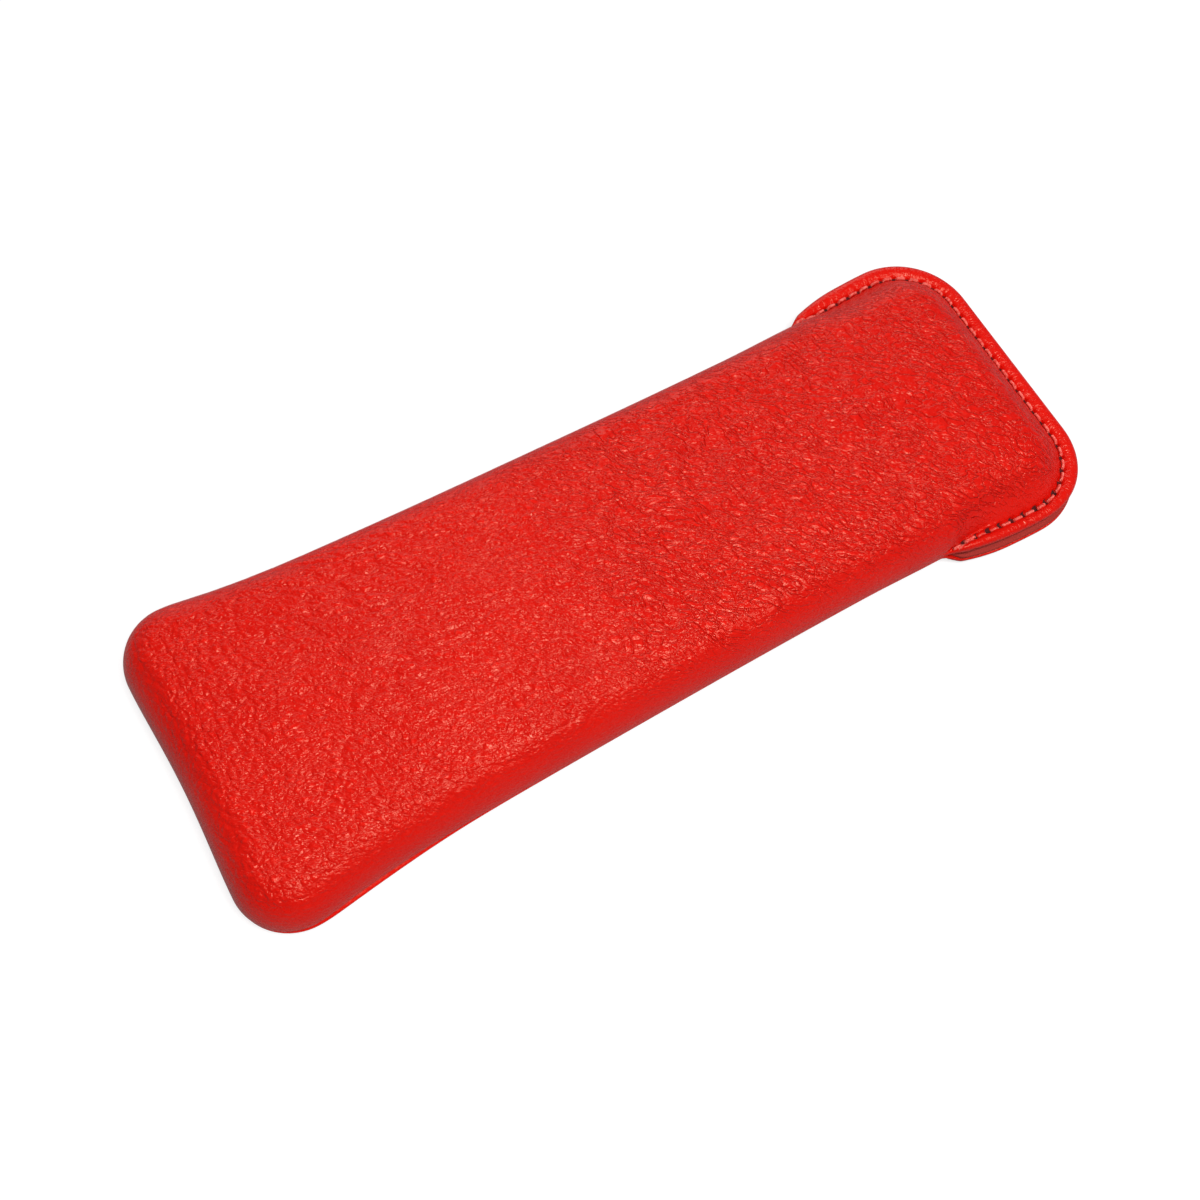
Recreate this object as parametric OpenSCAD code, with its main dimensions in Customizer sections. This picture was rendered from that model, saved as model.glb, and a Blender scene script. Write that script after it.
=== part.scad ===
// Single pen sleeve, lying on its back panel.
// The frame has +X towards the mouth, +Y across the sleeve and +Z up from the
// underside. Every layer is a shell with one round end and one cut end, made
// from rings that run round the end from one side of the cut to the other.

/* [Sleeve] */
// Length from the closed end to the mouth edge
sleeve_l = 165; // [150:1:185]
// Width across the two closed corners
end_w = 58.2; // [54.6:0.2:63]
// Width that the sides taper from, just behind the closed corners
taper_w = 53; // [50.6:0.2:56]
// Width at the waist, where the sides have drawn in
waist_w = 50.4; // [46:0.2:53]
// Distance of the waist from the closed end
waist_x = 115; // [90:1:122]
// Width of the seam outline at the throat, where the side seams end
throat_w = 51; // [47:0.2:55]
// Radius of the closed corners in plan
corner_r = 9.5; // [9:0.5:13]
// How far the closed end dips in at its middle
end_dip = 0.6; // [0:0.1:1.8]
// Length over which the closed corners flare out of the sides
flare_l = 10.5; // [7:0.5:20]
// Length beside the corner over which the flare sets in
flare_start_l = 4; // [2:0.5:8]
// Height of the seam above the underside
seam_z = 3; // [2.8:0.1:4]
// Height of the front panel above the seam at its sides
dome_h = 9; // [8:0.1:11]
// Extra height along the middle of the front panel
crown_h = 1; // [0:0.1:2]
// Length over which the crown rises from the closed end
crown_rise_l = 36; // [20:1:60]
// Width of the front panel's rolled border
front_roll_w = 6.4; // [5.4:0.2:8]
// Width of the back panel's rolled border
back_roll_w = 4.5; // [3.6:0.1:6]

/* [Lips] */
// Length of the free lips in front of the throat
lip_l = 33.2; // [29:0.2:37]
// Width across the lips
mouth_w = 58.6; // [54:0.2:64]
// Corner radius of the lips in plan
mouth_r = 13.8; // [13:0.2:16]
// Distance from the lip's edge to its line of stitches
rim_w = 3; // [2.6:0.1:3.6]
// Width of the rim where it starts at the throat
rim_start_w = 0.8; // [0.7:0.1:1.4]
// Length over which the rim grows to its full width
rim_grow_l = 12; // [6:0.5:13]
// Height of the plump rim above the line of stitches
rim_plump_h = 0.5; // [0.2:0.05:0.6]
// Share of its height that the front lip loses towards the mouth
lip_drop = 0.14; // [0:0.01:0.25]
// Width of the lip's soft slope down to the stitches
lip_roll_w = 8; // [6.5:0.1:9]
// Gap between the closed lips, and between each lip and its panel
lip_gap = 0.3; // [0.3:0.05:0.5]

/* [Layers] */
// Thickness of the leather
leather_t = 1.2; // [0.8:0.05:1.3]
// Thickness of the padding behind the front leather
front_pad_t = 1.6; // [1:0.1:2]
// Thickness of the padding behind the back leather
back_pad_t = 0.8; // [0.7:0.05:0.9]
// Thickness of the suede lining
lining_t = 0.5; // [0.3:0.05:0.6]

/* [Stitching] */
// Distance from one stitch to the next on the lips
stitch_pitch = 2.55; // [2:0.05:3.5]
// Bare leather between two stitches on the lips
stitch_gap = 0.55; // [0.4:0.05:0.9]
// Diameter of the thread on the lips
thread_d = 0.6; // [0.4:0.05:0.7]
// Distance from one stitch to the next in the hidden seam
seam_pitch = 3; // [2.5:0.1:5]
// Length of one stitch in the hidden seam
seam_stitch_l = 1.6; // [1:0.1:2.2]
// Thickness of the thread in the hidden seam
seam_thread_d = 0.4; // [0.3:0.05:0.5]

/* [Hidden] */

// Steps round a corner, across a roll, along a side and along half an end
corner_steps = 6;
roll_steps = 5;
panel_steps = 11;
lip_steps = 6;
end_steps = 3;
// Rolled steps that the padding leaves free for the seam
pad_start = 2;
// Flat land on each side of the line of stitches
land = thread_d / 2 + 0.2;
// How much of the leather's edge is vertical below the rounded rim
edge_share = 0.6;
// Places of the rim's rings between its edge and its land
rim_rings = [0, 0.3, 0.75, 1];

throat_x = sleeve_l - lip_l;
panel_l = throat_x - lip_gap / 2;
lip_cut_l = lip_l - lip_gap / 2;
stitch_w = mouth_w - 2 * rim_w;
lip_base = lip_gap / 2;
lip_land = lip_base + lining_t + leather_t;

leather_colour = [0.86, 0.08, 0.05];
lining_colour = [0.62, 0.16, 0.15];
padding_colour = [0.85, 0.82, 0.76];
thread_colour = [0.9, 0.25, 0.22];

function ease(u) = let (v = min(1, max(0, u))) v * v * (3 - 2 * v);
function flat(lists) = [for (l = lists) each l];
function flip_all(faces) = [for (f = faces) [f[2], f[1], f[0]]];
function halves(q) = [[q[0], q[1], q[2]], [q[0], q[2], q[3]]];

// Half width of the seam outline at x from the closed end
function panel_half_w(x) =
    let (past = norm([max(0, x - corner_r), flare_start_l]) - flare_start_l)
    waist_w / 2 + (end_w - taper_w) / 2 * exp(-past / flare_l)
    + (taper_w - waist_w) / 2 * (1 - ease((x - corner_r) / (waist_x - corner_r)))
    + (throat_w - waist_w) / 2 * ease((x - waist_x) / (throat_x - waist_x));

// Half width of the line of stitches at u from the mouth edge
function stitch_half_w(u) =
    stitch_w / 2 + (throat_w - stitch_w) / 2 * ease((u - mouth_r) / (lip_l - mouth_r));

// Width of the rim outside the stitches at u from the mouth edge
function rim_at(u) =
    let (v = min(1, max(0, (lip_l - u) / rim_grow_l)))
    rim_start_w + (rim_w - rim_start_w) * (1 - (1 - v) * (1 - v));

// From 0 at the throat, where the lip has the panel's section, to 1 where its slope is soft
function softness(u) = ease((lip_l - u) / rim_grow_l);

// A half ring: the side from the cut to the corner, the corner, half of the end
function panel_half_ring(inset) =
    let (r = corner_r - inset, corner_y = end_w / 2 - corner_r)
    concat(
        [for (i = [0 : panel_steps])
            let (x = panel_l + (corner_r - panel_l) * i / panel_steps) [x, panel_half_w(x) - inset]],
        [for (i = [1 : corner_steps])
            let (a = 90 * i / corner_steps) [corner_r - r * sin(a), corner_y + r * cos(a)]],
        [for (i = [1 : end_steps])
            let (v = 1 - i / end_steps) [inset + end_dip * (1 - v * v) * (1 - v * v), corner_y * v]]);

// The inset is a function of the distance from the mouth edge
function lip_half_ring(rim_share, inset) =
    let (c = rim_share * rim_w + inset(mouth_r), r = mouth_r - c, corner_y = mouth_w / 2 - mouth_r)
    concat(
        [for (i = [0 : lip_steps])
            let (u = lip_cut_l + (mouth_r - lip_cut_l) * i / lip_steps)
            [u, stitch_half_w(u) + (1 - rim_share) * rim_at(u) - inset(u)]],
        [for (i = [1 : corner_steps])
            let (a = 90 * i / corner_steps) [mouth_r - r * sin(a), corner_y + r * cos(a)]],
        [for (i = [1 : end_steps]) [c, corner_y * (1 - i / end_steps)]]);

// The half ring and its mirror image, with the point on the centre line once
function whole_ring(half) =
    concat(half, [for (i = [len(half) - 2 : -1 : 0]) [half[i][0], -half[i][1]]]);

function raise(ring, z) = [for (p = ring) [p[0], p[1], z]];

// Height of the outer surface over the seam, on the panel and on the lip
function panel_top(p, side) =
    side == "back" ? seam_z
    : dome_h + crown_h * ease(p[0] / crown_rise_l) * (1 - pow(p[1] / panel_half_w(p[0]), 2));

function lip_top(p, side) =
    side == "back" ? seam_z
    : (dome_h + crown_h * (1 - pow(p[1] / (throat_w / 2), 2)))
      * (1 - lip_drop * ease(1 - p[0] / lip_l));

function panel_roll_w(side) = side == "back" ? back_roll_w : front_roll_w;

// Shares of a roll's width and height at one of its steps
function roll_out(i, soft) =
    let (v = i / roll_steps) (1 - soft) * (1 - cos(90 * v)) + soft * v;

function roll_up(i, soft) =
    let (v = i / roll_steps) (1 - soft) * sin(90 * v) + soft * (1 - (1 - v) * (1 - v));

function panel_inset(depth, side, i) = depth + (panel_roll_w(side) - depth) * roll_out(i, 0);

function lip_inset(depth, side, i) =
    function (u)
        let (soft = softness(u), roll_w = panel_roll_w(side) + (lip_roll_w - panel_roll_w(side)) * soft)
        land + depth + (roll_w - depth) * roll_out(i, soft);

// Rings of one surface that lies depth below the outer one
function panel_rings(depth, side, first = 0) =
    [for (i = [first : roll_steps])
        [for (p = whole_ring(panel_half_ring(panel_inset(depth, side, i))))
            [p[0], p[1], (panel_top(p, side) - depth) * roll_up(i, 0)]]];

function lip_dome_rings(depth, base, side, first = 0) =
    [for (i = [first : roll_steps])
        [for (p = whole_ring(lip_half_ring(1, lip_inset(depth, side, i))))
            [p[0], p[1], base + (lip_top(p, side) - depth - base) * roll_up(i, softness(p[0]))]]];

function lip_rim_rings(base, plump_h, edge_z) =
    [for (s = rim_rings)
        raise(whole_ring(lip_half_ring(s, function (u) -s * land)),
              s == 0 ? edge_z : base + plump_h * sqrt(1 - pow(2 * s - 1, 2)))];

// Points on the centre line beside each point of the side
function spine(rings, count, heights) =
    [for (i = [0 : count]) [rings[0][i][0], 0, heights[i]]];

function surface_faces(at, spine_at, rings, points, side_points) =
    flat(concat(
        [for (k = [0 : rings - 2], j = [0 : points - 2])
            halves([at + k * points + j, at + (k + 1) * points + j,
                    at + (k + 1) * points + j + 1, at + k * points + j + 1])],
        let (last = at + (rings - 1) * points)
        concat(
            [for (i = [0 : side_points - 1])
                halves([last + i, spine_at + i, spine_at + i + 1, last + i + 1])],
            [for (i = [0 : side_points - 1])
                halves([spine_at + i, last + points - 1 - i, last + points - 2 - i, spine_at + i + 1])],
            [for (j = [side_points : points - 2 - side_points])
                [[last + j, spine_at + side_points, last + j + 1]]])));

// The edge between two surfaces, and the flat face at the cut
function border_faces(a, b, spine_a, spine_b, rings, points) =
    let (far_a = a + (rings - 1) * points, far_b = b + (rings - 1) * points, end = points - 1)
    flat(concat(
        [for (j = [0 : points - 2]) halves([a + j, a + j + 1, b + j + 1, b + j])],
        [for (k = [0 : rings - 2])
            halves([a + (k + 1) * points, a + k * points, b + k * points, b + (k + 1) * points])],
        [for (k = [0 : rings - 2])
            halves([a + k * points + end, a + (k + 1) * points + end,
                    b + (k + 1) * points + end, b + k * points + end])],
        [halves([spine_a, far_a, far_b, spine_b]),
         halves([far_a + end, spine_a, spine_b, far_b + end])]));

// A shell between an outer and an inner surface, each a list of rings and a spine
module shell(outer, outer_spine, inner, inner_spine) {
    rings = len(outer);
    points = len(outer[0]);
    side_points = len(outer_spine) - 1;
    b = rings * points;
    spine_a = 2 * rings * points;
    spine_b = spine_a + len(outer_spine);
    polyhedron(
        points = concat(flat(outer), flat(inner), outer_spine, inner_spine),
        faces = concat(
            surface_faces(0, spine_a, rings, points, side_points),
            flip_all(surface_faces(b, spine_b, rings, points, side_points)),
            border_faces(0, b, spine_a, spine_b, rings, points)),
        convexity = 6);
}

function panel_spine(rings, depth, side) =
    spine(rings, panel_steps, [for (i = [0 : panel_steps]) panel_top([rings[0][i][0], 0], side) - depth]);

function lip_spine(rings, depth, side) =
    spine(rings, lip_steps, [for (i = [0 : lip_steps]) lip_top([rings[0][i][0], 0], side) - depth]);

// One layer of a panel, between two depths below its outer surface
module panel_layer(side, depth, thick, first = 0) {
    outer = panel_rings(depth, side, first);
    inner = panel_rings(depth + thick, side, first);
    shell(outer, panel_spine(outer, depth, side), inner, panel_spine(inner, depth + thick, side));
}

// Puts a panel on the seam plane, the back one face down
module place_panel(side) {
    translate([-sleeve_l / 2, 0, seam_z])
        mirror([0, 0, side == "back" ? 1 : 0]) children();
}

// Puts a lip on the seam plane with its round end at the mouth
module place_lip(side) {
    translate([sleeve_l / 2, 0, seam_z]) mirror([1, 0, 0])
        mirror([0, 0, side == "back" ? 1 : 0]) children();
}

module panel_leather(side) {
    color(leather_colour) place_panel(side) panel_layer(side, 0, leather_t);
}

module panel_padding(side, pad_t) {
    color(padding_colour) place_panel(side) panel_layer(side, leather_t, pad_t, pad_start);
}

module panel_lining(side, pad_t) {
    color(lining_colour) place_panel(side) panel_layer(side, leather_t + pad_t, lining_t);
}

module lip_leather(side) {
    base = lip_base + lining_t;
    edge_z = base + leather_t * edge_share;
    outer = concat(lip_rim_rings(lip_land, rim_plump_h, edge_z), lip_dome_rings(0, lip_land, side));
    inner = concat(lip_rim_rings(base, 0, base), lip_dome_rings(leather_t, base, side));
    color(leather_colour) place_lip(side)
        shell(outer, lip_spine(outer, 0, side), inner, lip_spine(inner, leather_t, side));
}

module lip_padding(side, pad_t) {
    base = lip_base + lining_t;
    outer = lip_dome_rings(leather_t, base, side, pad_start);
    inner = lip_dome_rings(leather_t + pad_t, base, side, pad_start);
    color(padding_colour) place_lip(side)
        shell(outer, lip_spine(outer, leather_t, side),
              inner, lip_spine(inner, leather_t + pad_t, side));
}

module lip_lining(side, pad_t) {
    top = lip_base + lining_t;
    depth = leather_t + pad_t;
    outer = concat(lip_rim_rings(top, 0, top), lip_dome_rings(depth, top, side));
    inner = concat(lip_rim_rings(lip_base, 0, lip_base), lip_dome_rings(depth + lining_t, lip_base, side));
    color(lining_colour) place_lip(side)
        shell(outer, lip_spine(outer, depth, side), inner, lip_spine(inner, depth + lining_t, side));
}

// Distance along a path to each of its points
function runs(path) =
    [for (i = 0, run = 0; i < len(path);
          run = run + (i + 1 < len(path) ? norm(path[i + 1] - path[i]) : 0), i = i + 1) run];

// Puts its children on the path, run along it, with X along the path
module on_path(path, at, run) {
    i = max([for (k = [0 : len(path) - 2]) if (at[k] <= run) k]);
    step = path[i + 1] - path[i];
    p = path[i] + step * (run - at[i]) / norm(step);
    translate(p) rotate([0, 0, atan2(step[1], step[0])]) children();
}

// Stitches at one pitch, centred on the path
module stitch_row(path, pitch) {
    at = runs(path);
    total = at[len(at) - 1];
    count = floor(total / pitch);
    for (i = [0 : count - 1])
        on_path(path, at, (total - (count - 1) * pitch) / 2 + i * pitch) children();
}

module lip_stitching(side) {
    color(thread_colour) place_lip(side) translate([0, 0, lip_land + thread_d / 2])
        stitch_row(whole_ring(lip_half_ring(1, function (u) 0)), stitch_pitch)
            rotate([0, 90, 0])
                cylinder(d = thread_d, h = stitch_pitch - stitch_gap, center = true, $fn = 6);
}

module seam_stitching() {
    color(thread_colour) place_panel("front") translate([0, 0, seam_thread_d / 2])
        stitch_row(whole_ring(panel_half_ring(leather_t + back_pad_t / 2)), seam_pitch)
            cube([seam_stitch_l, seam_thread_d, 2 * seam_thread_d], center = true);
}

panel_leather("front");  // front_panel
panel_padding("front", front_pad_t);  // front_padding
panel_lining("front", front_pad_t);  // front_lining
panel_leather("back");  // back_panel
panel_padding("back", back_pad_t);  // back_padding
panel_lining("back", back_pad_t);  // back_lining
seam_stitching();
lip_leather("front");  // front_lip
lip_padding("front", front_pad_t);  // front_lip_padding
lip_lining("front", front_pad_t);  // front_lip_lining
lip_stitching("front");  // front_lip_stitching
lip_leather("back");  // back_lip
lip_padding("back", back_pad_t);  // back_lip_padding
lip_lining("back", back_pad_t);  // back_lip_lining
lip_stitching("back");  // back_lip_stitching
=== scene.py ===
"""The looks of a red leather pen sleeve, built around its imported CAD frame.

Each layer of the sleeve is one soft skin that runs from the closed end to the mouth. A skin is made of
rings that follow the outline, and of a grid that fills the inmost ring. Sizes are in millimetres, with
x from the closed end and z from the seam plane, until the last step turns them into the CAD's metres.
"""

import math

import bpy
import numpy as np
from mathutils import Matrix, Vector


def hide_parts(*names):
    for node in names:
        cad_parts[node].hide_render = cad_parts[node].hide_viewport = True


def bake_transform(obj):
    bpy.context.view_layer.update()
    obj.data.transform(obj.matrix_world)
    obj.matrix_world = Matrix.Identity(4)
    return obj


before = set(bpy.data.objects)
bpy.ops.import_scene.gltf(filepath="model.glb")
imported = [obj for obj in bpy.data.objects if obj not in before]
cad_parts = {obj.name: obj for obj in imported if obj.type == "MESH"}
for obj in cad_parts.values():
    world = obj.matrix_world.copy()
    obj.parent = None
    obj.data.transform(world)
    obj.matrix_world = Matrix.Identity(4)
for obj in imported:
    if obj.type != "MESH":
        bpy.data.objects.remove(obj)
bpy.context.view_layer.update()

# The photograph's camera
IMAGE_SIZE = 1200
FOCAL_PX = 1469
PX_PER_MM = 5.87
ELEVATION = 67.54
AZIMUTH = -39.26
ROLL = -9.71
AIM_MM = (0.0, 0.0, 5.0)
SHIFT_MM = (4.96, -7.01)

# Sizes of the sleeve, as in the CAD
SLEEVE_L = 165.0
END_W = 58.2
TAPER_W = 53.0
WAIST_X = 115.0
WAIST_W = 50.4
THROAT_W = 51.0
CORNER_R = 9.5
END_DIP = 0.6
FLARE_L = 10.5
FLARE_START_L = 4.0
SEAM_Z = 3.0
DOME_H = 9.0
CROWN_H = 1.0
CROWN_RISE_L = 36.0
ROLL_W = {"front": 6.4, "back": 4.5}
LIP_L = 33.2
MOUTH_W = 58.6
MOUTH_R = 13.8
RIM_W = 3.0
RIM_START_W = 0.8
RIM_GROW_L = 12.0
LIP_DROP = 0.14
LIP_ROLL_W = 8.0
LEATHER_T = 1.2
PAD_T = {"front": 1.6, "back": 0.8}
LINING_T = 0.5
LIP_BASE = 0.15
LIP_LAND_Z = 1.85
LAND_W = 0.3
STITCH_PITCH = 2.55
THREAD_D = 0.6
THROAT_X = SLEEVE_L - LIP_L
STITCH_W = MOUTH_W - 2 * RIM_W

# The front lip's rim on the near side is narrower, and stands open a little near the throat
NEAR_RIM_LOSS = 0.28
GAPE_H = 0.45
GAPE_X = 7.0
GAPE_L = 5.0

# Steps of the skin inside the stitch line that are raised with that rim
GAPE_STEPS = 4

# How the skins are made: size of the steps, and the length over which a rolled border is divided
LEATHER_STEP = 0.3
SOFT_STEP = 1.0
RIM_STEPS = 14
ROLL_RUN = 13.0
SEAM_ROLL_DEG = 10
PAD_START_DEG = 36

# Where panel turns into lip, and where the skins bend, both measured from the throat
THROAT_BLEND_MM = (-1.5, 3.5)

# Millimetres to one unit of a UV map
UV_MM = 100.0

# The seam between front and back lies in a groove, which gets deeper towards the closed end
SEAM_GROOVE_H = 0.4
SEAM_GROOVE = (0.2, 0.6)
GROOVE_FADE_X = 60.0
GROOVE_FADE_L = 25.0

# Under that groove the back bulges out a little, by the closed corner on the near side
BULGE = 0.5
BULGE_X = 20.0
BULGE_L = 13.0
BULGE_Z = 0.9
BULGE_H = 0.6

# Directions in which the leather's wrinkles are laid out: right and down in the photograph
RIGHT = np.array([0.87, -0.33])
DOWN = np.array([-0.5, -0.79])

# Turn of the fine grain, and of the fine creases that run through it
GRAIN_DEG = 34
SLANT_DEG = 46

# Curved folds near the closed end: the middle of their arcs, their bend, stretch and width
ARC_MIDDLE = np.array([30.0, 3.0])
ARC_BEND = 0.0067
ARC_STRETCH = 0.33
FOLD_W = 2.4

# Slanting creases near the mouth, and the round pebbles of the rest
CREASE_SLOPE = 0.3
CREASE_STRETCH = 0.3
CREASE_W = 1.5
PEBBLE_W = 2.0

# How far the lines of folds and creases swing from side to side, and over what length
SWING_L = 9.0
FOLD_SWING = 1.2
CREASE_SWING = 1.5

# Depth of the wrinkles at the closed end and at the mouth, and the share of it below the plain surface
WRINKLE_DEPTH = (0.3, 0.12)
WRINKLE_SINK = 0.7
WRINKLE_FADE_X = 55.0
WRINKLE_FADE_L = 35.0

# Patches with folds rather than pebbles, which gather round one place along the sleeve
PATCH_L = 15.0
PATCH_X = 38.0
PATCH_SPREAD = 24.0

# Length and height of the slow swells in the leather, with the seed of each
SWELLS = ((14, 0.2, 41), (6, 0.07, 42))

# Steps from the edge at which the grain sets in, and steps over which it grows
PANEL_GRAIN_STEPS = (6, 34)
LIP_GRAIN_STEPS = (3, 20)
ROLL_GRAIN = 0.2

# Puckers and needle holes along the stitch line; the puckers' mask on the rim and by the stitches also
# carries painted shade
PUCKER_H = 0.07
PUCKER_W = 0.8
RIM_PUCKER_AND_SHADE = 0.8
PUCKER_AND_SHADE_FADE_W = 2.2
HOLE_DEPTH = 0.5
HOLE_OUT = 0.1
HOLE_W = 0.42
HOLE_L = 0.5
# Share of a needle hole above which a face gets the painted shade of the hole's inside
HOLE_SHADE_AT = 0.46

# One stitch: its half length, rise over the leather, dip at the ends, and its three twisted strands
STITCH_HALF_L = 0.92
STITCH_LIFT = 0.3
STITCH_DIP = 0.35
STITCH_POINTS = 17
STRANDS = 3
STRAND_TURNS = 1.3
STRAND_OFFSET = 0.25 * THREAD_D
STRAND_R = 0.27 * THREAD_D
TUBE_SIDES = 6

# Stitches sewn over the last two at each side of the throat: the stitch that each covers, its shift
# away from the mouth, its half length, how far out it lies and how high it rises
DOUBLED_STITCHES = ((-1, -0.7, 1.1, 0.35, 0.45), (-2, -0.2, 1.2, -0.3, 0.5))

# Strength of the light from all sides, where 1 is white
WORLD_LIGHT = 0.19

# The floor in metres: its size, how far it lies under the sleeve, its own grey, and the light that it
# adds where the camera sees it, near the sleeve and further off
FLOOR_SIZE = 6
FLOOR_DROP = 0.0002
FLOOR_GREY = 0.3
FLOOR_GLOW = (0.76, 1.0)
FLOOR_GLOW_AT = (0.15, 0.7)

# Place and size in metres and power in watts of each lamp, all aimed at the sleeve
LAMPS = {
    "key": ((0.02, -0.18, 0.7), (0.22, 0.22), 3.7),
    "near_light": ((0.18, -0.46, 0.54), (0.25, 0.2), 1.1),
    "fill": ((0.25, 0.85, 0.33), (1.2, 0.5), 3.2),
}

# Sections of the lip's rim, as shares of its width and heights above the seam plane
LEATHER_RIM = [(0.88, 1.0), (0.97, 1.12), (1.0, 1.5), (0.93, 2.0), (0.72, 2.4),
               (0.46, 2.5), (0.2, 2.25), (0.06, 1.92), (0, 1.82)]
LEATHER_RIM_UNDER = [(0.86, 1.0), (0.5, 1.0), (0.1, 0.85)]
LINING_RIM = [(0.9, 0.2), (0.94, 0.45), (0.92, 0.85), (0.86, 0.96), (0.5, 0.96), (0.1, 0.8)]
LINING_RIM_UNDER = [(0.88, 0.15), (0.5, 0.15), (0.1, 0.15)]


def ease(u):
    """A smooth step from 0 to 1."""
    v = np.clip(u, 0, 1)
    return v * v * (3 - 2 * v)


def lattice(ix, iy, seed):
    """Random numbers from 0 to 1 at whole-number points, the same on each run."""
    h = (ix * 374761393 + iy * 668265263 + seed * 1442695041) & 0xFFFFFFFF
    h = ((h ^ (h >> 13)) * 1274126177) & 0xFFFFFFFF
    return ((h ^ (h >> 16)) & 0xFFFFFF) / 0xFFFFFF


def noise(p, seed):
    """Smooth noise from -1 to 1, with one lump to a unit."""
    cell = np.floor(p).astype(np.int64)
    f = p - cell
    w = f ** 3 * (f * (f * 6 - 15) + 10)
    x, y = cell[..., 0], cell[..., 1]
    low = lattice(x, y, seed) * (1 - w[..., 0]) + lattice(x + 1, y, seed) * w[..., 0]
    high = lattice(x, y + 1, seed) * (1 - w[..., 0]) + lattice(x + 1, y + 1, seed) * w[..., 0]
    return 2 * (low * (1 - w[..., 1]) + high * w[..., 1]) - 1


def cells(p, seed):
    """How far each point is from the border between two of a pattern of irregular cells."""
    cell = np.floor(p).astype(np.int64)
    nearest = np.full(p.shape[:-1], 9.0)
    second = np.full(p.shape[:-1], 9.0)
    for i in (-1, 0, 1):
        for j in (-1, 0, 1):
            x, y = cell[..., 0] + i, cell[..., 1] + j
            d = np.hypot(p[..., 0] - x - lattice(x, y, seed), p[..., 1] - y - lattice(x, y, seed + 1))
            second = np.minimum(second, np.maximum(nearest, d))
            nearest = np.minimum(nearest, d)
    return second - nearest


def panel_half_w(x):
    """Half the width of the seam outline at x, behind the closed corners."""
    past = np.hypot(np.maximum(0, x - CORNER_R), FLARE_START_L) - FLARE_START_L
    return (WAIST_W / 2 + (END_W - TAPER_W) / 2 * np.exp(-past / FLARE_L)
            + (TAPER_W - WAIST_W) / 2 * (1 - ease((x - CORNER_R) / (WAIST_X - CORNER_R)))
            + (THROAT_W - WAIST_W) / 2 * ease((x - WAIST_X) / (THROAT_X - WAIST_X)))


def stitch_half_w(u):
    """Half the width between the lips' lines of stitches, at u before the mouth's edge."""
    return STITCH_W / 2 + (THROAT_W - STITCH_W) / 2 * ease((u - MOUTH_R) / (LIP_L - MOUTH_R))


def rim_at(u):
    """Width of the rim outside the stitches, at u before the mouth's edge."""
    v = np.clip((LIP_L - u) / RIM_GROW_L, 0, 1)
    return RIM_START_W + (RIM_W - RIM_START_W) * (1 - (1 - v) ** 2)


def outline():
    """The seam and stitch line from the middle of the closed end to the middle of the mouth.

    Each row holds x, y, the outward direction and the width of the rim outside the line."""
    t = np.linspace(0, 1, 600)
    zero, one = np.zeros_like(t), np.ones_like(t)
    corner_y = END_W / 2 - CORNER_R
    mouth_y = MOUTH_W / 2 - MOUTH_R
    a = t * math.pi / 2
    x = CORNER_R + (THROAT_X - CORNER_R) * t
    u = LIP_L + (MOUTH_R - LIP_L) * t
    r = MOUTH_R - RIM_W
    sections = [
        (END_DIP * (1 - t * t) ** 2, corner_y * t, -one, zero, zero),
        (CORNER_R - CORNER_R * np.cos(a), corner_y + CORNER_R * np.sin(a), -np.cos(a), np.sin(a), zero),
        (x, panel_half_w(x), zero, one, RIM_START_W * one),
        (SLEEVE_L - u, stitch_half_w(u), zero, one, rim_at(u)),
        (SLEEVE_L - MOUTH_R + r * np.sin(a), mouth_y + r * np.cos(a), np.sin(a), np.cos(a), RIM_W * one),
        ((SLEEVE_L - RIM_W) * one, mouth_y * (1 - t), one, zero, RIM_W * one),
    ]
    return np.concatenate([np.array(s).T[:-1] for s in sections] + [np.array(sections[-1]).T[-1:]])


OUTLINE = outline()
OUTLINE_RUN = np.concatenate([[0], np.cumsum(np.hypot(*np.diff(OUTLINE[:, :2], axis=0).T))])
CLOSED_CORNER_RUN = END_W / 2 - CORNER_R + CORNER_R * math.pi / 4
MOUTH_CORNER_RUN = OUTLINE_RUN[-1] - (MOUTH_W / 2 - MOUTH_R + (MOUTH_R - RIM_W) * math.pi / 4)


def at_run(run):
    """Rows of the outline at distances along it."""
    rows = np.stack([np.interp(run, OUTLINE_RUN, OUTLINE[:, i]) for i in range(OUTLINE.shape[1])], -1)
    rows[..., 2:4] /= np.linalg.norm(rows[..., 2:4], axis=-1, keepdims=True)
    return rows


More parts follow.
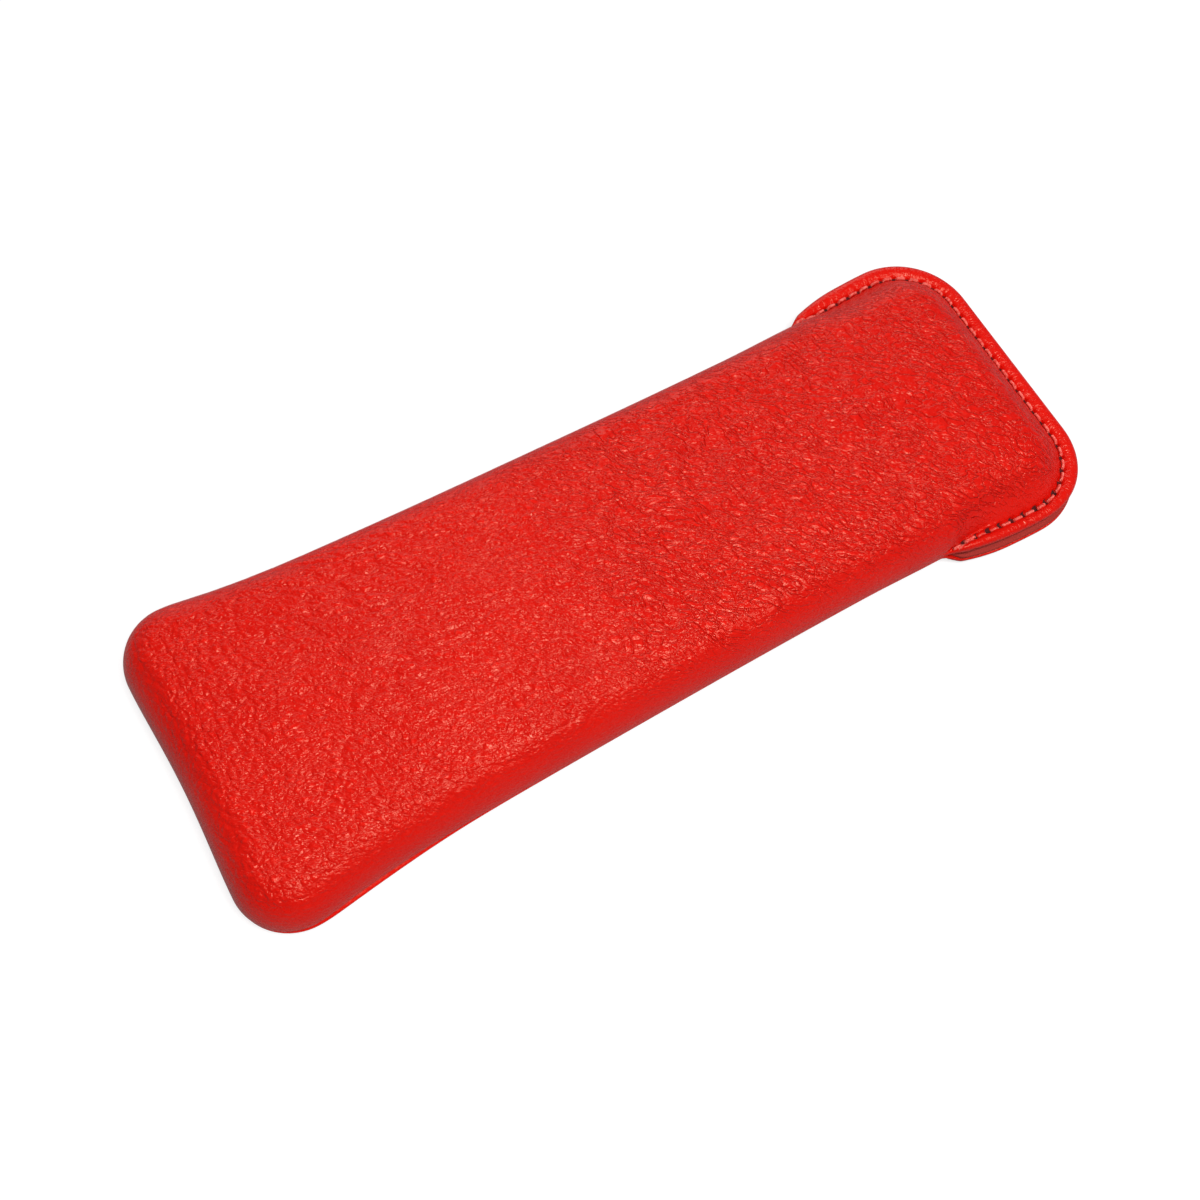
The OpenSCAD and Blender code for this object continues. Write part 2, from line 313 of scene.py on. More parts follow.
class Ring:
    """Stations all round the outline. The grid's corners lie in the middle of the round corners."""

    def __init__(self, step, side):
        self.short = int(round(CLOSED_CORNER_RUN / step))
        self.long = int(round((MOUTH_CORNER_RUN - CLOSED_CORNER_RUN) / step))
        run = np.concatenate([
            np.linspace(0, CLOSED_CORNER_RUN, self.short + 1)[:-1],
            np.linspace(CLOSED_CORNER_RUN, MOUTH_CORNER_RUN, self.long + 1)[:-1],
            np.linspace(MOUTH_CORNER_RUN, OUTLINE_RUN[-1], self.short + 1)])
        half = at_run(run)
        other = half[-2:0:-1] * (1, -1, 1, -1, 1)
        rows = np.concatenate([half, other])
        self.run = np.concatenate([run, run[-2:0:-1]])
        self.point, self.out, self.rim = rows[:, :2], rows[:, 2:4], rows[:, 4]
        self.count = len(rows)
        start, end = THROAT_BLEND_MM
        self.lip = ease((self.point[:, 0] - THROAT_X - start) / (end - start))
        self.soft = ease((self.point[:, 0] - THROAT_X) / RIM_GROW_L)
        shallow, deep = SEAM_GROOVE
        to_end = ease((GROOVE_FADE_X - self.point[:, 0]) / GROOVE_FADE_L)
        self.groove = shallow + (deep - shallow) * to_end
        self.gape = np.zeros(self.count)
        self.bulge = np.zeros(self.count)
        near = self.point[:, 1] < 0
        if side == "back":
            self.bulge = BULGE * near * np.exp(-((self.point[:, 0] - BULGE_X) / BULGE_L) ** 2)
        if side == "front":
            past = self.point[:, 0] - THROAT_X
            near = near * (1 - ease((past - LIP_L + MOUTH_R) / (MOUTH_R - RIM_W)))
            self.rim = self.rim * (1 - NEAR_RIM_LOSS * near)
            self.gape = near * GAPE_H * np.exp(-((past - GAPE_X) / GAPE_L) ** 2)

    def grid_index(self):
        """Station numbers round the border of the grid, with -1 inside it."""
        n, m = self.long, 2 * self.short
        index = np.full((n + 1, m + 1), -1)
        i, j = np.arange(n + 1), np.arange(m + 1)
        index[:, m] = self.short + i
        index[n, :] = self.short + n + m - j
        index[:, 0] = self.short + n + m + n - i
        index[0, :] = (self.short + 2 * n + m + j) % self.count
        return index


def top(p, side):
    """Height of the outer surface over the seam plane."""
    if side == "back":
        return np.full(p.shape[:-1], SEAM_Z)
    x, y = p[..., 0], p[..., 1]
    width = np.where(x < THROAT_X, panel_half_w(x), THROAT_W / 2)
    crown = CROWN_H * ease(x / CROWN_RISE_L) * np.maximum(0, 1 - (y / width) ** 2)
    return (DOME_H + crown) * (1 - LIP_DROP * ease((x - THROAT_X) / LIP_L))


def smooth_path(keys, count):
    """Points along a smooth curve through the keys."""
    keys = np.array([keys[0], *keys, keys[-1]], float)
    at = np.linspace(0, len(keys) - 3 - 1e-9, count)
    i = at.astype(int)
    f = (at - i)[:, None]
    a, b, c, d = keys[i], keys[i + 1], keys[i + 2], keys[i + 3]
    square, cube = 2 * a - 5 * b + 4 * c - d, 3 * b - a - 3 * c + d
    return 0.5 * (2 * b + (c - a) * f + square * f ** 2 + cube * f ** 3)


def surface(ring, step, side, depth, base, rim_keys, start_deg=0):
    """One surface of a layer: its rings from the edge inwards, and its grid, in plan and height."""
    rim_steps = RIM_STEPS if rim_keys else 0
    roll_steps = int(round(ROLL_RUN / step))
    rim = smooth_path(rim_keys, rim_steps) if rim_keys else np.zeros((0, 2))
    seam_deg = SEAM_ROLL_DEG if rim_keys else start_deg
    panel_deg = np.concatenate([np.linspace(0, seam_deg, rim_steps, endpoint=False),
                                np.linspace(seam_deg, 90, roll_steps + 1)])
    lip_deg = np.linspace(start_deg, 90, roll_steps + 1)
    roll_w = ROLL_W[side] + (LIP_ROLL_W - ROLL_W[side]) * ring.soft
    rings, heights = [], []
    for k, deg in enumerate(panel_deg):
        a = math.radians(deg)
        panel_q = -(depth + (ROLL_W[side] - depth) * (1 - math.cos(a)))
        if k < rim_steps:
            lip_q = rim[k, 0] * ring.rim
        else:
            b = math.radians(lip_deg[k - rim_steps])
            v = 2 * b / math.pi
            out = (1 - ring.soft) * (1 - math.cos(b)) + ring.soft * v
            up = (1 - ring.soft) * math.sin(b) + ring.soft * (1 - (1 - v) ** 2)
            lip_q = -(LAND_W + depth + (roll_w - depth) * out)
        if depth == 0:
            z = (DOME_H if side == "front" else SEAM_Z) * math.sin(a)
            panel_q = (panel_q - ring.groove * math.exp(-(z / SEAM_GROOVE_H) ** 2)
                       + ring.bulge * math.exp(-((z - BULGE_Z) / BULGE_H) ** 2))
        q = panel_q * (1 - ring.lip) + lip_q * ring.lip
        p = ring.point + q[:, None] * ring.out
        high = top(p, side) - depth
        panel_z = high * math.sin(a)
        lip_z = rim[k, 1] if k < rim_steps else base + (high - base) * up
        rings.append(p)
        lift = ring.gape * (k < rim_steps + GAPE_STEPS)
        heights.append(panel_z * (1 - ring.lip) + (lip_z + lift) * ring.lip)
    rings, heights = np.array(rings), np.array(heights)
    grid = coons(ring, rings[-1])
    return rings, heights, grid, top(grid, side) - depth


def coons(ring, border):
    """A grid of plan points that fills the inmost ring."""
    index = ring.grid_index()
    n, m = index.shape[0] - 1, index.shape[1] - 1
    s = np.linspace(0, 1, n + 1)[:, None, None]
    t = np.linspace(0, 1, m + 1)[None, :, None]
    left, right = border[index[0]][None], border[index[n]][None]
    low, high = border[index[:, 0]][:, None], border[index[:, m]][:, None]
    corners = ((1 - s) * (1 - t) * border[index[0, 0]] + s * (1 - t) * border[index[n, 0]]
               + (1 - s) * t * border[index[0, m]] + s * t * border[index[n, m]])
    return (1 - s) * left + s * right + (1 - t) * low + t * high - corners


def climb(rings, heights):
    """Distance over the surface from the inmost ring to each point of each ring."""
    length = np.linalg.norm(np.diff(np.dstack([rings, heights]), axis=0), axis=2)
    return np.concatenate([np.cumsum(length[::-1], axis=0)[::-1], np.zeros((1, rings.shape[1]))])


def surface_mesh(ring, rings, heights, grid, grid_heights):
    """Points, unrolled coordinates and quads of one surface, which faces up."""
    count = ring.count
    levels = len(rings)
    index = ring.grid_index()
    inside = index < 0
    index[~inside] += (levels - 1) * count
    index[inside] = levels * count + np.arange(inside.sum())
    points = np.concatenate([np.dstack([rings, heights]).reshape(-1, 3),
                             np.dstack([grid, grid_heights])[inside]])
    flat = rings[-1][None] + ring.out[None] * climb(rings, heights)[..., None]
    unrolled = np.concatenate([flat.reshape(-1, 2), grid[inside]])
    k = np.arange(levels - 1)[:, None] * count
    t = np.arange(count)[None]
    after = (t + 1) % count
    round_quads = np.stack([k + t, k + count + t, k + count + after, k + after], -1).reshape(-1, 4)
    grid_quads = np.stack([index[:-1, :-1], index[1:, :-1], index[1:, 1:], index[:-1, 1:]], -1)
    return points, unrolled, np.concatenate([round_quads, grid_quads.reshape(-1, 4)])


def shell(ring, outer, inner):
    """Joins an outer and an inner surface along their edges into one closed skin."""
    points_a, flat_a, quads_a = outer
    points_b, flat_b, quads_b = inner
    t = np.arange(ring.count)
    after = (t + 1) % ring.count
    shift = len(points_a)
    edge = np.stack([t, after, shift + after, shift + t], -1)
    return (np.concatenate([points_a, points_b]), np.concatenate([flat_a, flat_b]),
            np.concatenate([quads_a, quads_b[:, ::-1] + shift, edge]))


def to_metres(points, side):
    """From the sleeve's own millimetres to the CAD's frame."""
    up = 1 if side == "front" else -1
    return (points * (1, 1, up) + (-SLEEVE_L / 2, 0, SEAM_Z)) / 1000


def add_piece(name, points, quads, materials, maps=None, faces_of=None):
    """A mesh object with smooth faces, its UV maps, and the number of each face's material."""
    mesh = bpy.data.meshes.new(name)
    mesh.from_pydata(points.tolist(), [], quads.tolist())
    for material in materials:
        mesh.materials.append(material)
    if faces_of is not None:
        mesh.polygons.foreach_set("material_index", faces_of.astype(np.int32))
    corners = np.empty(len(mesh.loops), np.int32)
    mesh.loops.foreach_get("vertex_index", corners)
    for map_name, flat in (maps or {}).items():
        mesh.uv_layers.new(name=map_name).data.foreach_set("uv", (flat[corners] / UV_MM).ravel())
    mesh.polygons.foreach_set("use_smooth", np.ones(len(mesh.polygons), bool))
    mesh.update()
    piece = bpy.data.objects.new(name, mesh)
    bpy.context.scene.collection.objects.link(piece)
    return piece


def normals(points, quads):
    """Vertex normals of a quad mesh."""
    a = points[quads[:, 2]] - points[quads[:, 0]]
    b = points[quads[:, 3]] - points[quads[:, 1]]
    face = np.cross(a, b)
    total = np.zeros_like(points)
    for corner in range(4):
        np.add.at(total, quads[:, corner], face)
    return total / np.maximum(np.linalg.norm(total, axis=1, keepdims=True), 1e-12)


def stitch_runs():
    """Distances from the middle of the mouth to the middle of each stitch, on one side."""
    half_l = OUTLINE_RUN[-1] - np.interp(THROAT_X, OUTLINE[:, 0], OUTLINE_RUN)
    count = int(2 * half_l / STITCH_PITCH)
    return (np.arange(count // 2) + 0.5) * STITCH_PITCH


def rgb(r, g, b):
    """A colour written in the 0 to 255 steps of a screen, as the linear value that a shader takes."""
    linear = [((c / 255 + 0.055) / 1.055) ** 2.4 if c > 10 else c / 255 / 12.92 for c in (r, g, b)]
    return (*linear, 1)


class Nodes:
    """A short way to build a node material. Most methods add a node and give its result."""

    def __init__(self, name):
        self.material = bpy.data.materials.new(name)
        self.material.use_nodes = True
        self.tree = self.material.node_tree
        self.shader = self.tree.nodes["Principled BSDF"]

    def add(self, kind, inputs=None, **settings):
        node = self.tree.nodes.new(kind)
        for key, value in settings.items():
            setattr(node, key, value)
        for key, value in (inputs or {}).items():
            if isinstance(value, bpy.types.NodeSocket):
                self.tree.links.new(value, node.inputs[key])
            else:
                node.inputs[key].default_value = value
        return node

    def maths(self, operation, a, b=0.0):
        return self.add("ShaderNodeMath", {0: a, 1: b}, operation=operation).outputs[0]

    def times(self, a, b):
        return self.maths("MULTIPLY", a, b)

    def plus(self, a, b):
        return self.maths("ADD", a, b)

    def minus(self, a, b):
        return self.maths("SUBTRACT", a, b)

    def blend_colours(self, share, a, b):
        return self.add("ShaderNodeMix", {0: share, 6: a, 7: b}, data_type="RGBA").outputs[2]

    def ramp(self, value, low, high, to_low=0.0, to_high=1.0):
        return self.add("ShaderNodeMapRange", {0: value, 1: low, 2: high, 3: to_low, 4: to_high},
                        interpolation_type="SMOOTHSTEP").outputs[0]

    def between(self, share, low, high):
        return self.ramp(share, 0, 1, low, high)

    def scale(self, vector, factor):
        return self.add("ShaderNodeVectorMath", {0: vector, "Scale": factor},
                        operation="SCALE").outputs[0]

    def map_mm(self, name):
        """A UV map in millimetres."""
        return self.scale(self.add("ShaderNodeUVMap", uv_map=name).outputs["UV"], UV_MM)

    def attribute(self, name):
        return self.add("ShaderNodeAttribute", attribute_name=name).outputs["Fac"]

    def turn(self, vector, degrees):
        return self.add("ShaderNodeVectorRotate", {0: vector, "Angle": math.radians(degrees)},
                        rotation_type="Z_AXIS").outputs[0]

    def stretch(self, vector, along, across):
        return self.add("ShaderNodeVectorMath", {0: vector, 1: (along, across, 1)},
                        operation="MULTIPLY").outputs[0]

    def swing(self, vector, frequency, reach):
        """The vector, pushed about by up to half of reach, so that a pattern runs in uneven lines."""
        push = self.add("ShaderNodeTexNoise", {"Vector": vector, "Scale": frequency,
                                               "Detail": 2.0}).outputs["Color"]
        push = self.add("ShaderNodeVectorMath", {0: push, 1: (0.5, 0.5, 0.5)},
                        operation="SUBTRACT").outputs[0]
        return self.add("ShaderNodeVectorMath", {0: vector, 1: self.scale(push, reach)}).outputs[0]

    def grain(self, vector, frequency, groove):
        """Pebbles: 1 on top and 0 in the grooves between them."""
        edge = self.add("ShaderNodeTexVoronoi", {"Vector": vector, "Scale": frequency},
                        feature="DISTANCE_TO_EDGE").outputs[0]
        return self.ramp(edge, 0.0, groove)

    def noise(self, vector, scale, detail=2.0, roughness=0.5):
        return self.add("ShaderNodeTexNoise", {"Vector": vector, "Scale": scale, "Detail": detail,
                                               "Roughness": roughness}).outputs[0]

    def bump(self, height, strength, distance):
        return self.add("ShaderNodeBump", {"Height": height, "Strength": strength,
                                           "Distance": distance}).outputs["Normal"]

    def place(self):
        """A point's place on its object, in metres."""
        return self.add("ShaderNodeTexCoord").outputs["Object"]

    def finish(self, **inputs):
        """Sets the shader's inputs, with _ for a space in their names, and gives the material."""
        for key, value in inputs.items():
            socket = self.shader.inputs[key.replace("_", " ")]
            if isinstance(value, bpy.types.NodeSocket):
                self.tree.links.new(value, socket)
            else:
                socket.default_value = value
        return self.material


def leather_material():
    """Red grained leather: pebbles in two sizes, creases that slant towards the mouth, and puckers, with
    painted shade in its creases and on its rim.
    """
    n = Nodes("red_leather")
    mm = n.map_mm("unrolled")
    stitch_mm = n.map_mm("stitch_line")
    grain = n.attribute("grain")
    pucker_and_shade = n.attribute("pucker_and_shade")
    relief = n.attribute("relief")
    to_mouth = n.ramp(n.add("ShaderNodeSeparateXYZ", {0: mm}).outputs["X"], 50, 95)

    long = n.stretch(n.swing(n.turn(mm, GRAIN_DEG), frequency=0.07, reach=6.0), 0.62, 1.0)
    small = n.grain(n.swing(long, frequency=0.6, reach=0.4), frequency=1.0, groove=0.4)
    fine = n.grain(n.swing(long, frequency=1.5, reach=0.15), frequency=2.2, groove=0.4)
    slant = n.stretch(n.swing(n.turn(mm, SLANT_DEG), frequency=0.12, reach=6.0), 0.28, 0.8)
    lines = n.maths("ABSOLUTE", n.minus(n.noise(slant, scale=1.0), 0.5))
    lines = n.ramp(lines, 0.0, 0.075)
    pores = n.noise(mm, scale=1.6, detail=1.5)
    along_thread = n.swing(n.stretch(stitch_mm, 1.3, 0.3), frequency=0.6, reach=0.8)
    puckers = n.ramp(n.noise(along_thread, scale=1.0), 0.35, 0.65)

    height = n.times(small, n.between(to_mouth, 0.9, 0.7))
    height = n.plus(height, n.times(fine, n.between(to_mouth, 0.38, 0.26)))
    height = n.plus(height, n.times(lines, n.between(to_mouth, 0.3, 1.3)))
    height = n.times(height, grain)
    height = n.plus(height, n.times(pores, 0.5))
    height = n.plus(height, n.times(n.times(puckers, pucker_and_shade), 0.7))
    bump = n.bump(height, strength=1.0, distance=0.00013)

    # Painted shade: away from the tops of the pebbles, in the creases and lines, the red is darkened
    # towards a deep red.
    raised = n.times(n.times(small, lines), n.ramp(relief, 0.0, 0.85))
    crease_shade = n.times(n.minus(1.0, raised), grain)
    patch = n.ramp(n.noise(mm, scale=0.06), 0.3, 0.7)
    red = n.blend_colours(patch, rgb(228, 15, 5), rgb(234, 20, 8))
    red = n.blend_colours(n.times(crease_shade, 0.4), red, rgb(186, 2, 1))
    # Painted shade: the rim and the band inside the stitch line are painted a darker red.
    red = n.blend_colours(n.times(pucker_and_shade, 0.5), red, rgb(210, 10, 3))
    rough = n.ramp(pores, 0.3, 0.7, 0.24, 0.32)
    return n.finish(Base_Color=red, Roughness=rough, Normal=bump, Specular_IOR_Level=0.4,
                    Specular_Tint=rgb(255, 214, 184))


def hole_shade_material():
    """Painted shade for the inside of a needle hole: a dark red."""
    n = Nodes("needle_hole_shade")
    colour = n.blend_colours(n.noise(n.place(), scale=900.0), rgb(60, 2, 1), rgb(96, 6, 4))
    return n.finish(Base_Color=colour, Roughness=0.9)


def suede_material():
    """The lining: matt, with a fine nap."""
    n = Nodes("suede")
    nap = n.noise(n.map_mm("unrolled"), scale=5.0, detail=6.0, roughness=0.7)
    colour = n.blend_colours(n.ramp(nap, 0.3, 0.7), rgb(150, 38, 32), rgb(190, 70, 62))
    bump = n.bump(nap, strength=0.8, distance=0.00015)
    return n.finish(Base_Color=colour, Roughness=0.95, Normal=bump, Specular_IOR_Level=0.1)


def foam_material():
    """The padding: cream foam with open bubbles."""
    n = Nodes("foam")
    voronoi = n.add("ShaderNodeTexVoronoi", {"Vector": n.map_mm("unrolled"), "Scale": 2.5})
    bubble = voronoi.outputs["Distance"]
    colour = n.blend_colours(n.ramp(bubble, 0.1, 0.6), rgb(226, 220, 204), rgb(196, 188, 170))
    bump = n.bump(bubble, strength=0.6, distance=0.0002)
    return n.finish(Base_Color=colour, Roughness=0.9, Normal=bump)


def thread_material():
    """Waxed red thread, with painted highlight: pale pink on the raised parts of its fibres and red in
    its hollows.
    """
    n = Nodes("thread")
    fibre_and_highlight = n.noise(n.place(), scale=2500.0, detail=4.0, roughness=0.6)
    # Painted highlight: the noise turns patches of the red thread pale pink.
    colour = n.blend_colours(n.ramp(fibre_and_highlight, 0.35, 0.65), rgb(222, 46, 34), rgb(250, 134, 120))
    bump = n.bump(fibre_and_highlight, strength=0.5, distance=0.00005)
    return n.finish(Base_Color=colour, Roughness=0.35, Normal=bump)


LEATHER = leather_material()
HOLE_SHADE = hole_shade_material()
SUEDE = suede_material()
FOAM = foam_material()
THREAD = thread_material()


def pillows(p, seed, width):
    """Rounded pebbles: 1 in the middle of each cell and 0 in the creases between them."""
    v = np.clip(cells(p, seed) / width, 0, 1)
    return 1 - (1 - v) ** 2


def wrinkles(flat):
    """Height of the leather's larger pebbles in millimetres, deepest towards the closed end.

    The second result is 1 on top of a pebble and 0 in the creases."""
    x = flat[:, 0]
    across, down = (flat - ARC_MIDDLE) @ RIGHT, (flat - ARC_MIDDLE) @ DOWN
    swing = np.stack([noise(flat / SWING_L, 11), noise(flat / SWING_L, 12)], -1)
    arcs = np.stack([across * ARC_STRETCH, down + ARC_BEND * across ** 2], -1) + FOLD_SWING * swing
    slants = np.stack([across * CREASE_STRETCH, down - CREASE_SLOPE * across], -1) + CREASE_SWING * swing
    folds = pillows(arcs / FOLD_W, seed=21, width=0.4)
    creases = pillows(slants / CREASE_W, seed=22, width=0.5)
    pebbles = pillows((flat + FOLD_SWING * swing) / PEBBLE_W, seed=23, width=0.36)
    to_mouth = ease((x - WRINKLE_FADE_X) / WRINKLE_FADE_L)
    by_patch = np.exp(-((x - PATCH_X) / PATCH_SPREAD) ** 2)
    patch = ease(0.2 + 0.5 * noise(flat / PATCH_L, 31) + 0.6 * by_patch)
    relief = (folds * patch + pebbles * (1 - patch)) * (1 - to_mouth) + creases * to_mouth
    at_end, at_mouth = WRINKLE_DEPTH
    height = (at_end * (1 - to_mouth) + at_mouth * to_mouth) * (relief - WRINKLE_SINK)
    for length, swell, seed in SWELLS:
        height = height + swell * noise(flat / length, seed)
    return height, relief


def sets_in(step, steps):
    """Share of the grain at a step from the edge."""
    start, growth = steps
    return ease((step - start) / growth)


def leather_skin(side):
    """The leather of one side: one skin from the closed end, over the lip, to its rolled rim."""
    ring = Ring(LEATHER_STEP, side)
    rings, heights, grid, grid_heights = surface(ring, LEATHER_STEP, side, 0, LIP_LAND_Z, LEATHER_RIM)
    points, flat, quads = surface_mesh(ring, rings, heights, grid, grid_heights)

    def on_rings(values, inside):
        """Values at the rings' points, followed by one value for all points inside the last ring."""
        full = np.broadcast_to(values, heights.shape).ravel()
        return np.concatenate([full, np.full(len(points) - len(full), inside, float)])

    level = on_rings(np.arange(len(rings))[:, None], 99)
    on_lip = on_rings(ring.lip, 0)
    run = on_rings(OUTLINE_RUN[-1] - ring.run, 0)
    over = climb(rings, heights)
    across = on_rings(over - over[RIM_STEPS], -30)
    phase = np.abs((run / STITCH_PITCH) % 1 - 0.5) * 2
    step_in = level - RIM_STEPS
    on_top = (sets_in(step_in, PANEL_GRAIN_STEPS) * (1 - on_lip)
              + sets_in(step_in, LIP_GRAIN_STEPS) * on_lip)
    height, relief = wrinkles(flat)
    height *= on_top
    height += PUCKER_H * on_lip * np.cos(phase * math.pi) * np.exp(-(across / PUCKER_W) ** 2)
    from_hole = (phase - 1) * STITCH_PITCH / 2
    hole = on_lip * np.exp(-((across - HOLE_OUT) / HOLE_W) ** 2) * np.exp(-(from_hole / HOLE_L) ** 4)
    height -= HOLE_DEPTH * hole
    if side == "back":
        height = np.minimum(height, 0)
    points = points + normals(points, quads) * height[:, None]
    inner = surface_mesh(ring, *surface(
        ring, LEATHER_STEP, side, LEATHER_T, LIP_BASE + LINING_T, LEATHER_RIM_UNDER))
    count = len(points)
    points, flat, quads = shell(ring, (points, flat, quads), inner)
    if side == "back":
        quads = quads[:, ::-1]

    def with_inner(values):
        return np.concatenate([values, np.zeros((len(points) - count, *values.shape[1:]))])

    # Faces deep in a needle hole get the painted shade material
    dark = with_inner(hole)[quads].mean(axis=1) > HOLE_SHADE_AT
    maps = {"unrolled": flat, "stitch_line": with_inner(np.stack([run, across], -1))}
    piece = add_piece(side + "_leather", to_metres(points, side), quads, [LEATHER, HOLE_SHADE], maps, dark)
    grain = ROLL_GRAIN + (1 - ROLL_GRAIN) * on_top
    # Mask of the rim's puckers, which the material also uses to paint shade on the rim and along the
    # stitch line
    pucker_and_shade = on_lip * np.where(across > 0, RIM_PUCKER_AND_SHADE, np.exp(-(across / PUCKER_AND_SHADE_FADE_W) ** 2))
    for name, values in (("grain", grain), ("pucker_and_shade", pucker_and_shade), ("relief", relief)):
        attribute = piece.data.attributes.new(name, "FLOAT", "POINT")
        attribute.data.foreach_set("value", with_inner(values).astype(np.float32))
    return piece


def soft_layer(name, side, depth, thick, material, rim=None, rim_under=None):
    """A layer behind the leather."""
    ring = Ring(SOFT_STEP, side)
    start = 0 if rim else PAD_START_DEG
    base = LIP_BASE + LINING_T
    under = LIP_BASE if rim else base
    outer = surface_mesh(ring, *surface(ring, SOFT_STEP, side, depth, base, rim, start))
    inner = surface_mesh(ring, *surface(ring, SOFT_STEP, side, depth + thick, under, rim_under, start))
    points, flat, quads = shell(ring, outer, inner)
    if side == "back":
        quads = quads[:, ::-1]
    return add_piece(name, to_metres(points, side), quads, [material], {"unrolled": flat})


def tube(path, across, up, radius):
    """Points and quads of a six-sided tube along a path, closed at both ends."""
    a = np.arange(TUBE_SIDES) * 2 * math.pi / TUBE_SIDES
    ring = (np.cos(a)[:, None, None] * across + np.sin(a)[:, None, None] * up).swapaxes(0, 1)
    body = (path[:, None] + radius * ring).reshape(-1, 3)
    k = np.arange(len(path) - 1)[:, None] * TUBE_SIDES
    t = np.arange(TUBE_SIDES)[None]
    after = (t + 1) % TUBE_SIDES
    ahead = k + TUBE_SIDES
    quads = np.stack([k + t, k + after, ahead + after, ahead + t], -1).reshape(-1, 4)
    cap = np.array([[0, 3, 2, 1], [0, 5, 4, 3]])
    return body, np.concatenate([quads, cap, cap[:, ::-1] + len(body) - TUBE_SIDES])


def stitch(run, mirror, half_l=STITCH_HALF_L, out_by=0.0, lift=STITCH_LIFT):
    """The twisted strands of one stitch, which dips into a needle hole at each end."""
    t = np.linspace(-1, 1, STITCH_POINTS)
    rows = at_run(OUTLINE_RUN[-1] - run + t * half_l) * (1, mirror, 1, mirror, 1)
    out = np.pad(rows[:, 2:4], ((0, 0), (0, 1)))
    up = np.tile([0.0, 0.0, 1.0], (STITCH_POINTS, 1))
    middle = np.pad(rows[:, :2], ((0, 0), (0, 1))) + out * out_by
    middle[:, 2] = LIP_LAND_Z + lift * (1 - t ** 4) - STITCH_DIP * t ** 10
    strands = []
    for strand in range(STRANDS):
        turn = 2 * math.pi * (STRAND_TURNS * t + strand / STRANDS + run)
        offset = STRAND_OFFSET * (np.cos(turn)[:, None] * out + np.sin(turn)[:, None] * up)
        strands.append(tube(middle + offset, out, up, STRAND_R))
    return strands


def thread_piece(side):
    """The lip's stitches, with the last of them sewn over twice at each side of the throat."""
    bodies = []
    for mirror in (1, -1):
        runs = stitch_runs()
        for run in runs:
            bodies += stitch(run, mirror)
        for covered, shift, half_l, out_by, lift in DOUBLED_STITCHES:
            bodies += stitch(runs[covered] + shift, mirror, half_l, out_by, lift)
    starts = np.cumsum([0] + [len(body) for body, _ in bodies])
    points = np.concatenate([body for body, _ in bodies])
    quads = np.concatenate([faces + start for (_, faces), start in zip(bodies, starts)])
    return add_piece(side + "_thread", to_metres(points, side), quads, [THREAD])


def bend(piece):
    """Bakes a piece's transform into its mesh."""
    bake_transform(piece)


def build_side(side):
    """Leather, padding, lining and thread of one side, each over the CAD nodes that it stands for."""
    pad = PAD_T[side]
    leather = leather_skin(side)
    foam = soft_layer(side + "_foam", side, LEATHER_T, pad, FOAM)
    lining = soft_layer(side + "_suede", side, LEATHER_T + pad, LINING_T, SUEDE,
                        LINING_RIM, LINING_RIM_UNDER)
    thread = thread_piece(side)
    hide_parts(side + "_panel", side + "_lip")
    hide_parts(side + "_padding", side + "_lip_padding")
    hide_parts(side + "_lining", side + "_lip_lining")
    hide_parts(side + "_lip_stitching")
    for piece, slot in ((leather, "leather"), (foam, "padding"), (lining, "lining"), (thread, "thread")):
        bend(piece)


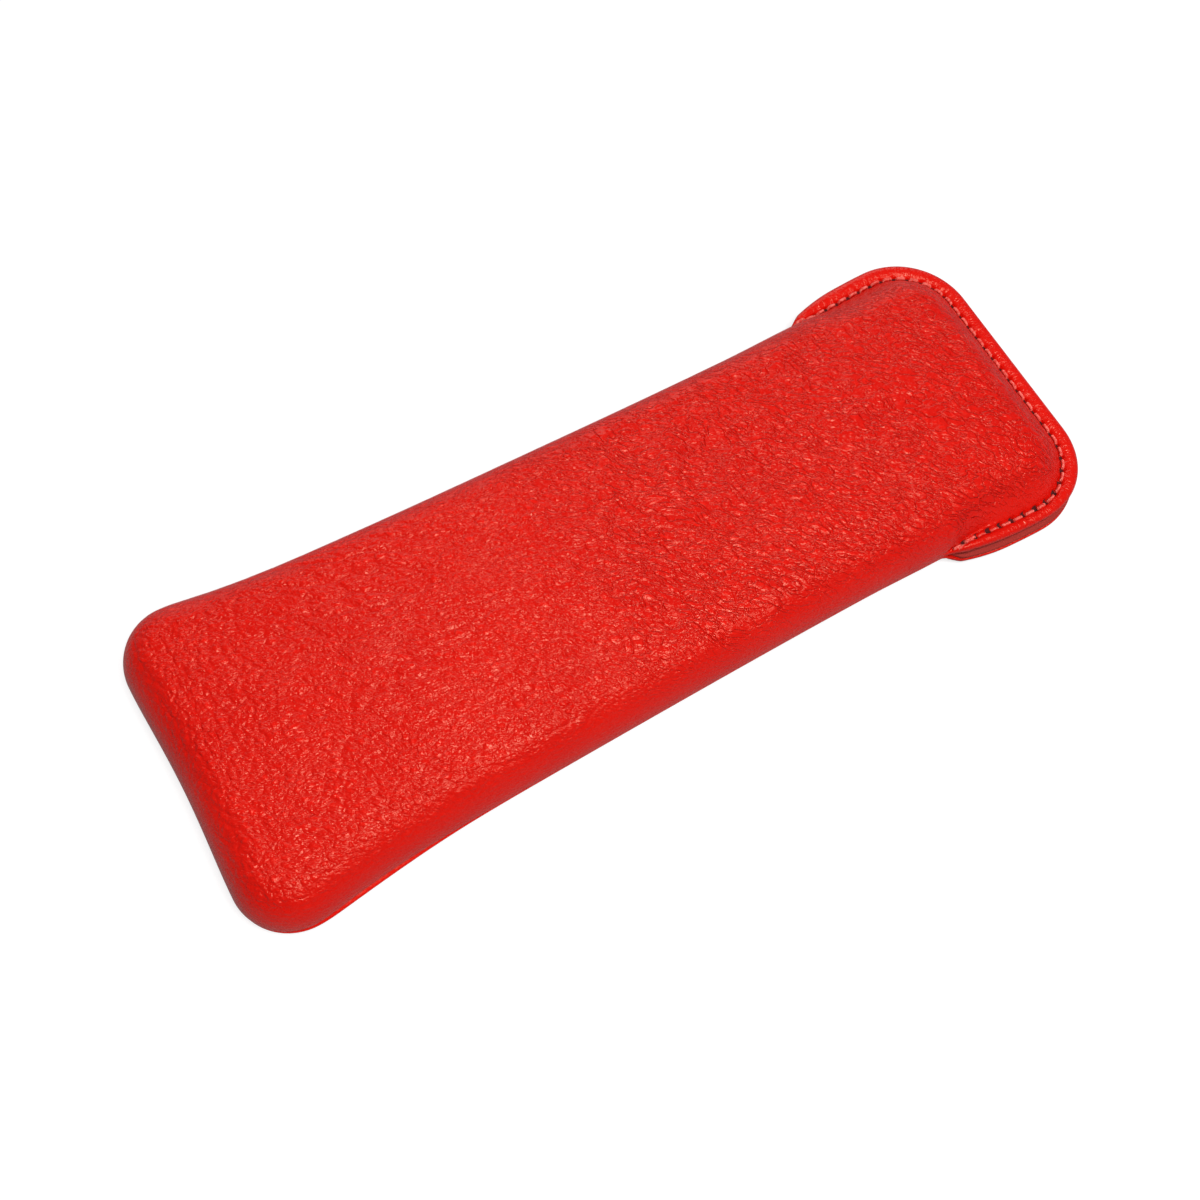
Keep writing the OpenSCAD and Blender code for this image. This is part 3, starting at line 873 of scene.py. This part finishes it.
def add_camera():
    """The photograph's camera, placed by its angles and by the point that it aims at."""
    e, a, r = (math.radians(v) for v in (ELEVATION, AZIMUTH, ROLL))
    back = Vector((math.sin(a) * math.cos(e), -math.cos(a) * math.cos(e), math.sin(e)))
    right = (-back).cross(Vector((0, 0, 1))).normalized()
    down = (-back).cross(right)
    across = right * math.cos(r) + down * math.sin(r)
    below = -right * math.sin(r) + down * math.cos(r)
    distance = FOCAL_PX / PX_PER_MM
    eye = Vector(AIM_MM) - across * SHIFT_MM[0] - below * SHIFT_MM[1] + back * distance
    data = bpy.data.cameras.new("camera")
    data.sensor_width = 36
    data.lens = FOCAL_PX / IMAGE_SIZE * data.sensor_width
    data.clip_start, data.clip_end = 0.01, 20
    camera = bpy.data.objects.new("camera", data)
    axes = Matrix((across, -below, back)).transposed()
    camera.matrix_world = Matrix.Translation(eye / 1000) @ axes.to_4x4()
    bpy.context.scene.collection.objects.link(camera)
    bpy.context.scene.camera = camera


def add_lamp(name, place, size, power):
    """A soft lamp that is aimed at the sleeve's middle."""
    data = bpy.data.lights.new(name, "AREA")
    data.shape = "RECTANGLE"
    data.size, data.size_y = size
    data.energy = power
    lamp = bpy.data.objects.new(name, data)
    lamp.location = place
    lamp.rotation_euler = (-Vector(place)).to_track_quat("-Z", "Y").to_euler()
    bpy.context.scene.collection.objects.link(lamp)


def add_floor():
    """A plain floor that keeps the soft shadow and is lifted to white where the camera sees it."""
    n = Nodes("floor")
    seen = n.add("ShaderNodeLightPath").outputs["Is Camera Ray"]
    away = n.add("ShaderNodeVectorMath", {0: n.place()}, operation="LENGTH").outputs["Value"]
    glow = n.times(seen, n.ramp(away, *FLOOR_GLOW_AT, *FLOOR_GLOW))
    n.finish(Base_Color=(FLOOR_GREY, FLOOR_GREY, FLOOR_GREY, 1), Roughness=0.9, Specular_IOR_Level=0.0,
             Emission_Color=(1, 1, 1, 1), Emission_Strength=glow)
    bpy.ops.mesh.primitive_plane_add(size=FLOOR_SIZE, location=(0, 0, -FLOOR_DROP))
    floor = bpy.context.object
    floor.name = "floor"
    floor.data.materials.append(n.material)


def add_world():
    """Even light from all sides, which the camera sees as white."""
    world = bpy.data.worlds.new("studio")
    world.use_nodes = True
    tree = world.node_tree
    seen = tree.nodes.new("ShaderNodeLightPath").outputs["Is Camera Ray"]
    strength = tree.nodes.new("ShaderNodeMapRange")
    strength.inputs[3].default_value = WORLD_LIGHT
    tree.links.new(seen, strength.inputs[0])
    tree.links.new(strength.outputs[0], tree.nodes["Background"].inputs[1])
    tree.nodes["Background"].inputs[0].default_value = (1, 1, 1, 1)
    bpy.context.scene.world = world


add_camera()
add_floor()
add_world()
for name, (place, size, power) in LAMPS.items():
    add_lamp(name, place, size, power)
bpy.context.scene.view_settings.view_transform = "Standard"

for side in ("front", "back"):
    build_side(side)

seam_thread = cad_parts["seam_stitching"]
seam_thread.data.materials.clear()
seam_thread.data.materials.append(THREAD)
